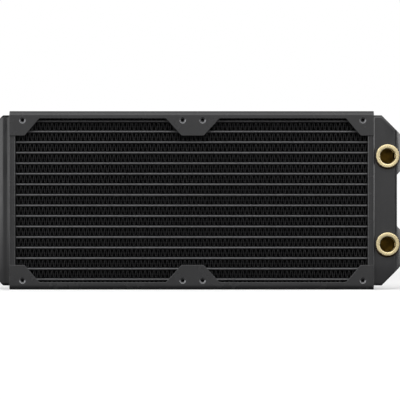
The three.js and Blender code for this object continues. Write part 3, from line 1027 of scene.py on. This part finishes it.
def thread_radius(y, turn, start, end):
    """A G1/4 thread's wall, which fades in and out at the two ends of its length."""
    phase = (y / THREAD_PITCH - turn / (2 * math.pi)) % 1.0
    depth = 1 - abs(2 * phase - 1)
    fade = min(1.0, (y - start) / THREAD_PITCH, (end - y) / THREAD_PITCH)
    return THREAD_MINOR + (THREAD_MAJOR - THREAD_MINOR) * depth * max(0.0, fade)


def collar_profile(turn):
    """The collar's section at one turn: up the threaded bore, over the face and down the outside."""
    mouth = (MOUTH_RADIUS - THREAD_MINOR) / math.tan(MOUTH_ANGLE)
    start, end = -COLLAR_BACK, -COLLAR_FACE + mouth
    rows_per_pitch = 8
    rows = int(rows_per_pitch * (start - end) / THREAD_PITCH)
    profile = []
    for y in np.linspace(start, end, rows + 1):
        profile.append((thread_radius(y, turn, end, start), y))
    profile.append((MOUTH_RADIUS, -COLLAR_FACE + COLLAR_CROWN))
    crown_middle = (MOUTH_RADIUS + COLLAR_RADIUS) / 2
    crown_half = (COLLAR_RADIUS - MOUTH_RADIUS) / 2
    for angle in np.radians(np.linspace(155, 0, 12)):
        sunk = COLLAR_CROWN * (1 - math.sin(angle))
        profile.append((crown_middle + crown_half * math.cos(angle), -COLLAR_FACE + sunk))
    profile.append((COLLAR_RADIUS, -COLLAR_BACK - COLLAR_BACK_BEVEL))
    profile.append((COLLAR_RADIUS - COLLAR_BACK_BEVEL, -COLLAR_BACK))
    return profile


def port_collars():
    loops = []
    for turn in np.linspace(0, 2 * math.pi, 96, endpoint=False):
        profile = collar_profile(turn)
        loops.append([(r * math.cos(turn), y, r * math.sin(turn)) for r, y in profile])
    collar = smooth(mesh_of("threaded_collar", tube_of_loops(loops, capped=False)), 40)
    for name, node, side in (
        ("upper_threaded_collar", "port_collar_upper", 1),
        ("lower_threaded_collar", "port_collar_lower", -1),
    ):
        place(name, collar, node, "brass", (PORT.x, 0, side * PORT.z))


# ---- Stage -----------------------------------------------------------------------------------------

FLOOR_WHITENS = 0.45, 1.1  # how far from the middle the floor begins to turn white, and is white
FLOOR_SHINES = 0.15, 0.4  # how far off it begins to shine in reflections, and shines fully
LEFT_SHINE, RIGHT_SHINE = 1.2, 0.25


def floor():
    """A pale floor that fades to white far off.

    Only the camera sees it pale: it throws little light back at the object, apart from a faint shine in
    glossy reflections, stronger to the left.
    """
    size = 4.0
    corners = [(-size, -size, 0), (size, -size, 0), (size, size, 0), (-size, size, 0)]
    mesh = bpy.data.meshes.new("floor")
    mesh.from_pydata(corners, [], [(0, 1, 2, 3)])
    material, tree, surface = new_material("pale_floor")
    position = add_node(tree, "ShaderNodeNewGeometry").outputs["Position"]
    rays = add_node(tree, "ShaderNodeLightPath").outputs
    distance = vector_calculated(tree, "LENGTH", "Value", position)
    glow = remap(tree, distance, *FLOOR_WHITENS, 0.25, 1.0)
    glow = calculated(tree, "MULTIPLY", glow, rays["Is Camera Ray"])
    sideways = add_node(tree, "ShaderNodeSeparateXYZ", {0: position}).outputs["X"]
    shine = remap(tree, sideways, -0.8, -0.3, LEFT_SHINE, RIGHT_SHINE)
    shine = calculated(tree, "MULTIPLY", shine, remap(tree, distance, *FLOOR_SHINES, 0.0, 1.0))
    shine = calculated(tree, "MULTIPLY", shine, rays["Is Glossy Ray"])
    pale = mix(tree, noise(tree, position, 3.0), (0.86, 0.86, 0.86, 1), (0.9, 0.9, 0.9, 1))
    seen = mix(tree, rays["Is Camera Ray"], (0.06, 0.06, 0.06, 1), pale)
    connect(
        tree,
        surface,
        Base_Color=mix(tree, glow, seen, (0, 0, 0, 1)),
        Roughness=0.9,
        Emission_Color=(1, 1, 1, 1),
        Emission_Strength=calculated(tree, "ADD", glow, shine),
    )
    mesh.materials.append(material)
    ground = bpy.data.objects.new("floor", mesh)
    bpy.context.scene.collection.objects.link(ground)


def soft_light(name, place_from, aim, size, brightness):
    """A soft box; a brightness of 1 makes it look as bright as the white background."""
    data = bpy.data.lights.new(name, "AREA")
    data.shape = "RECTANGLE"
    data.size, data.size_y = size
    data.energy = brightness * math.pi * size[0] * size[1]
    lamp = bpy.data.objects.new(name, data)
    lamp.location = place_from
    lamp.rotation_euler = (Vector(aim) - Vector(place_from)).to_track_quat("-Z", "Y").to_euler()
    bpy.context.scene.collection.objects.link(lamp)


def lights():
    """Broad boxes above and to the left, narrower ones to the right, and a card behind the camera."""
    centre = (MIDDLE.x, 0, MIDDLE.z)
    below = (0, -0.25, 0)
    soft_light("overhead_box", (0, -0.25, 1.5), aim=below, size=(2.6, 1.7), brightness=1.2)
    soft_light("upper_front_box", (0, -1.7, 1.35), aim=centre, size=(3.2, 1.5), brightness=2.7)
    soft_light("left_box", (-1.45, -0.6, 0.4), aim=centre, size=(1.5, 1.5), brightness=2.7)
    soft_light("right_box", (1.35, -0.95, 0.35), aim=centre, size=(0.8, 1.2), brightness=3.8)
    soft_light("rear_right_box", (1.4, 0.95, 0.4), aim=centre, size=(1.0, 1.4), brightness=2.5)
    soft_light("front_card", (0.05, -3.4, 0.1), aim=centre, size=(1.5, 1.7), brightness=0.95)


def sky():
    """White to the eye, and dim as a light, so that the black paint keeps its depth."""
    world = bpy.data.worlds.new("studio")
    world.use_nodes = True
    tree = world.node_tree
    tree.nodes.clear()
    seen = add_node(tree, "ShaderNodeBackground", {"Color": (1, 1, 1, 1), "Strength": 1.0})
    lit = add_node(tree, "ShaderNodeBackground", {"Color": (1, 1, 1, 1), "Strength": 0.08})
    path = add_node(tree, "ShaderNodeLightPath")
    inputs = {0: path.outputs["Is Camera Ray"], 1: lit.outputs[0], 2: seen.outputs[0]}
    both = add_node(tree, "ShaderNodeMixShader", inputs)
    add_node(tree, "ShaderNodeOutputWorld", {"Surface": both.outputs[0]})
    bpy.context.scene.world = world


def camera():
    """Straight on from the front through a long lens, a little to the right of the frame's middle."""
    view_width = 310.7 * MM
    distance = 3.0
    right, up = 6.5 * MM, 0.28 * MM
    data = bpy.data.cameras.new("camera")
    data.sensor_width = 36.0
    data.lens = data.sensor_width * distance / view_width
    data.clip_end = 50
    eye = bpy.data.objects.new("camera", data)
    eye.location = MIDDLE + Vector((right, -distance - FRAME_DEPTH / 2, up))
    eye.rotation_euler = (math.pi / 2, 0, 0)
    bpy.context.scene.collection.objects.link(eye)
    bpy.context.scene.camera = eye
    bpy.context.scene.view_settings.view_transform = "Standard"


side_panels()
header_plates()
flat_tubes()
fin_strips()
return_tank()
port_tank()
port_collars()
floor()
lights()
sky()
camera()
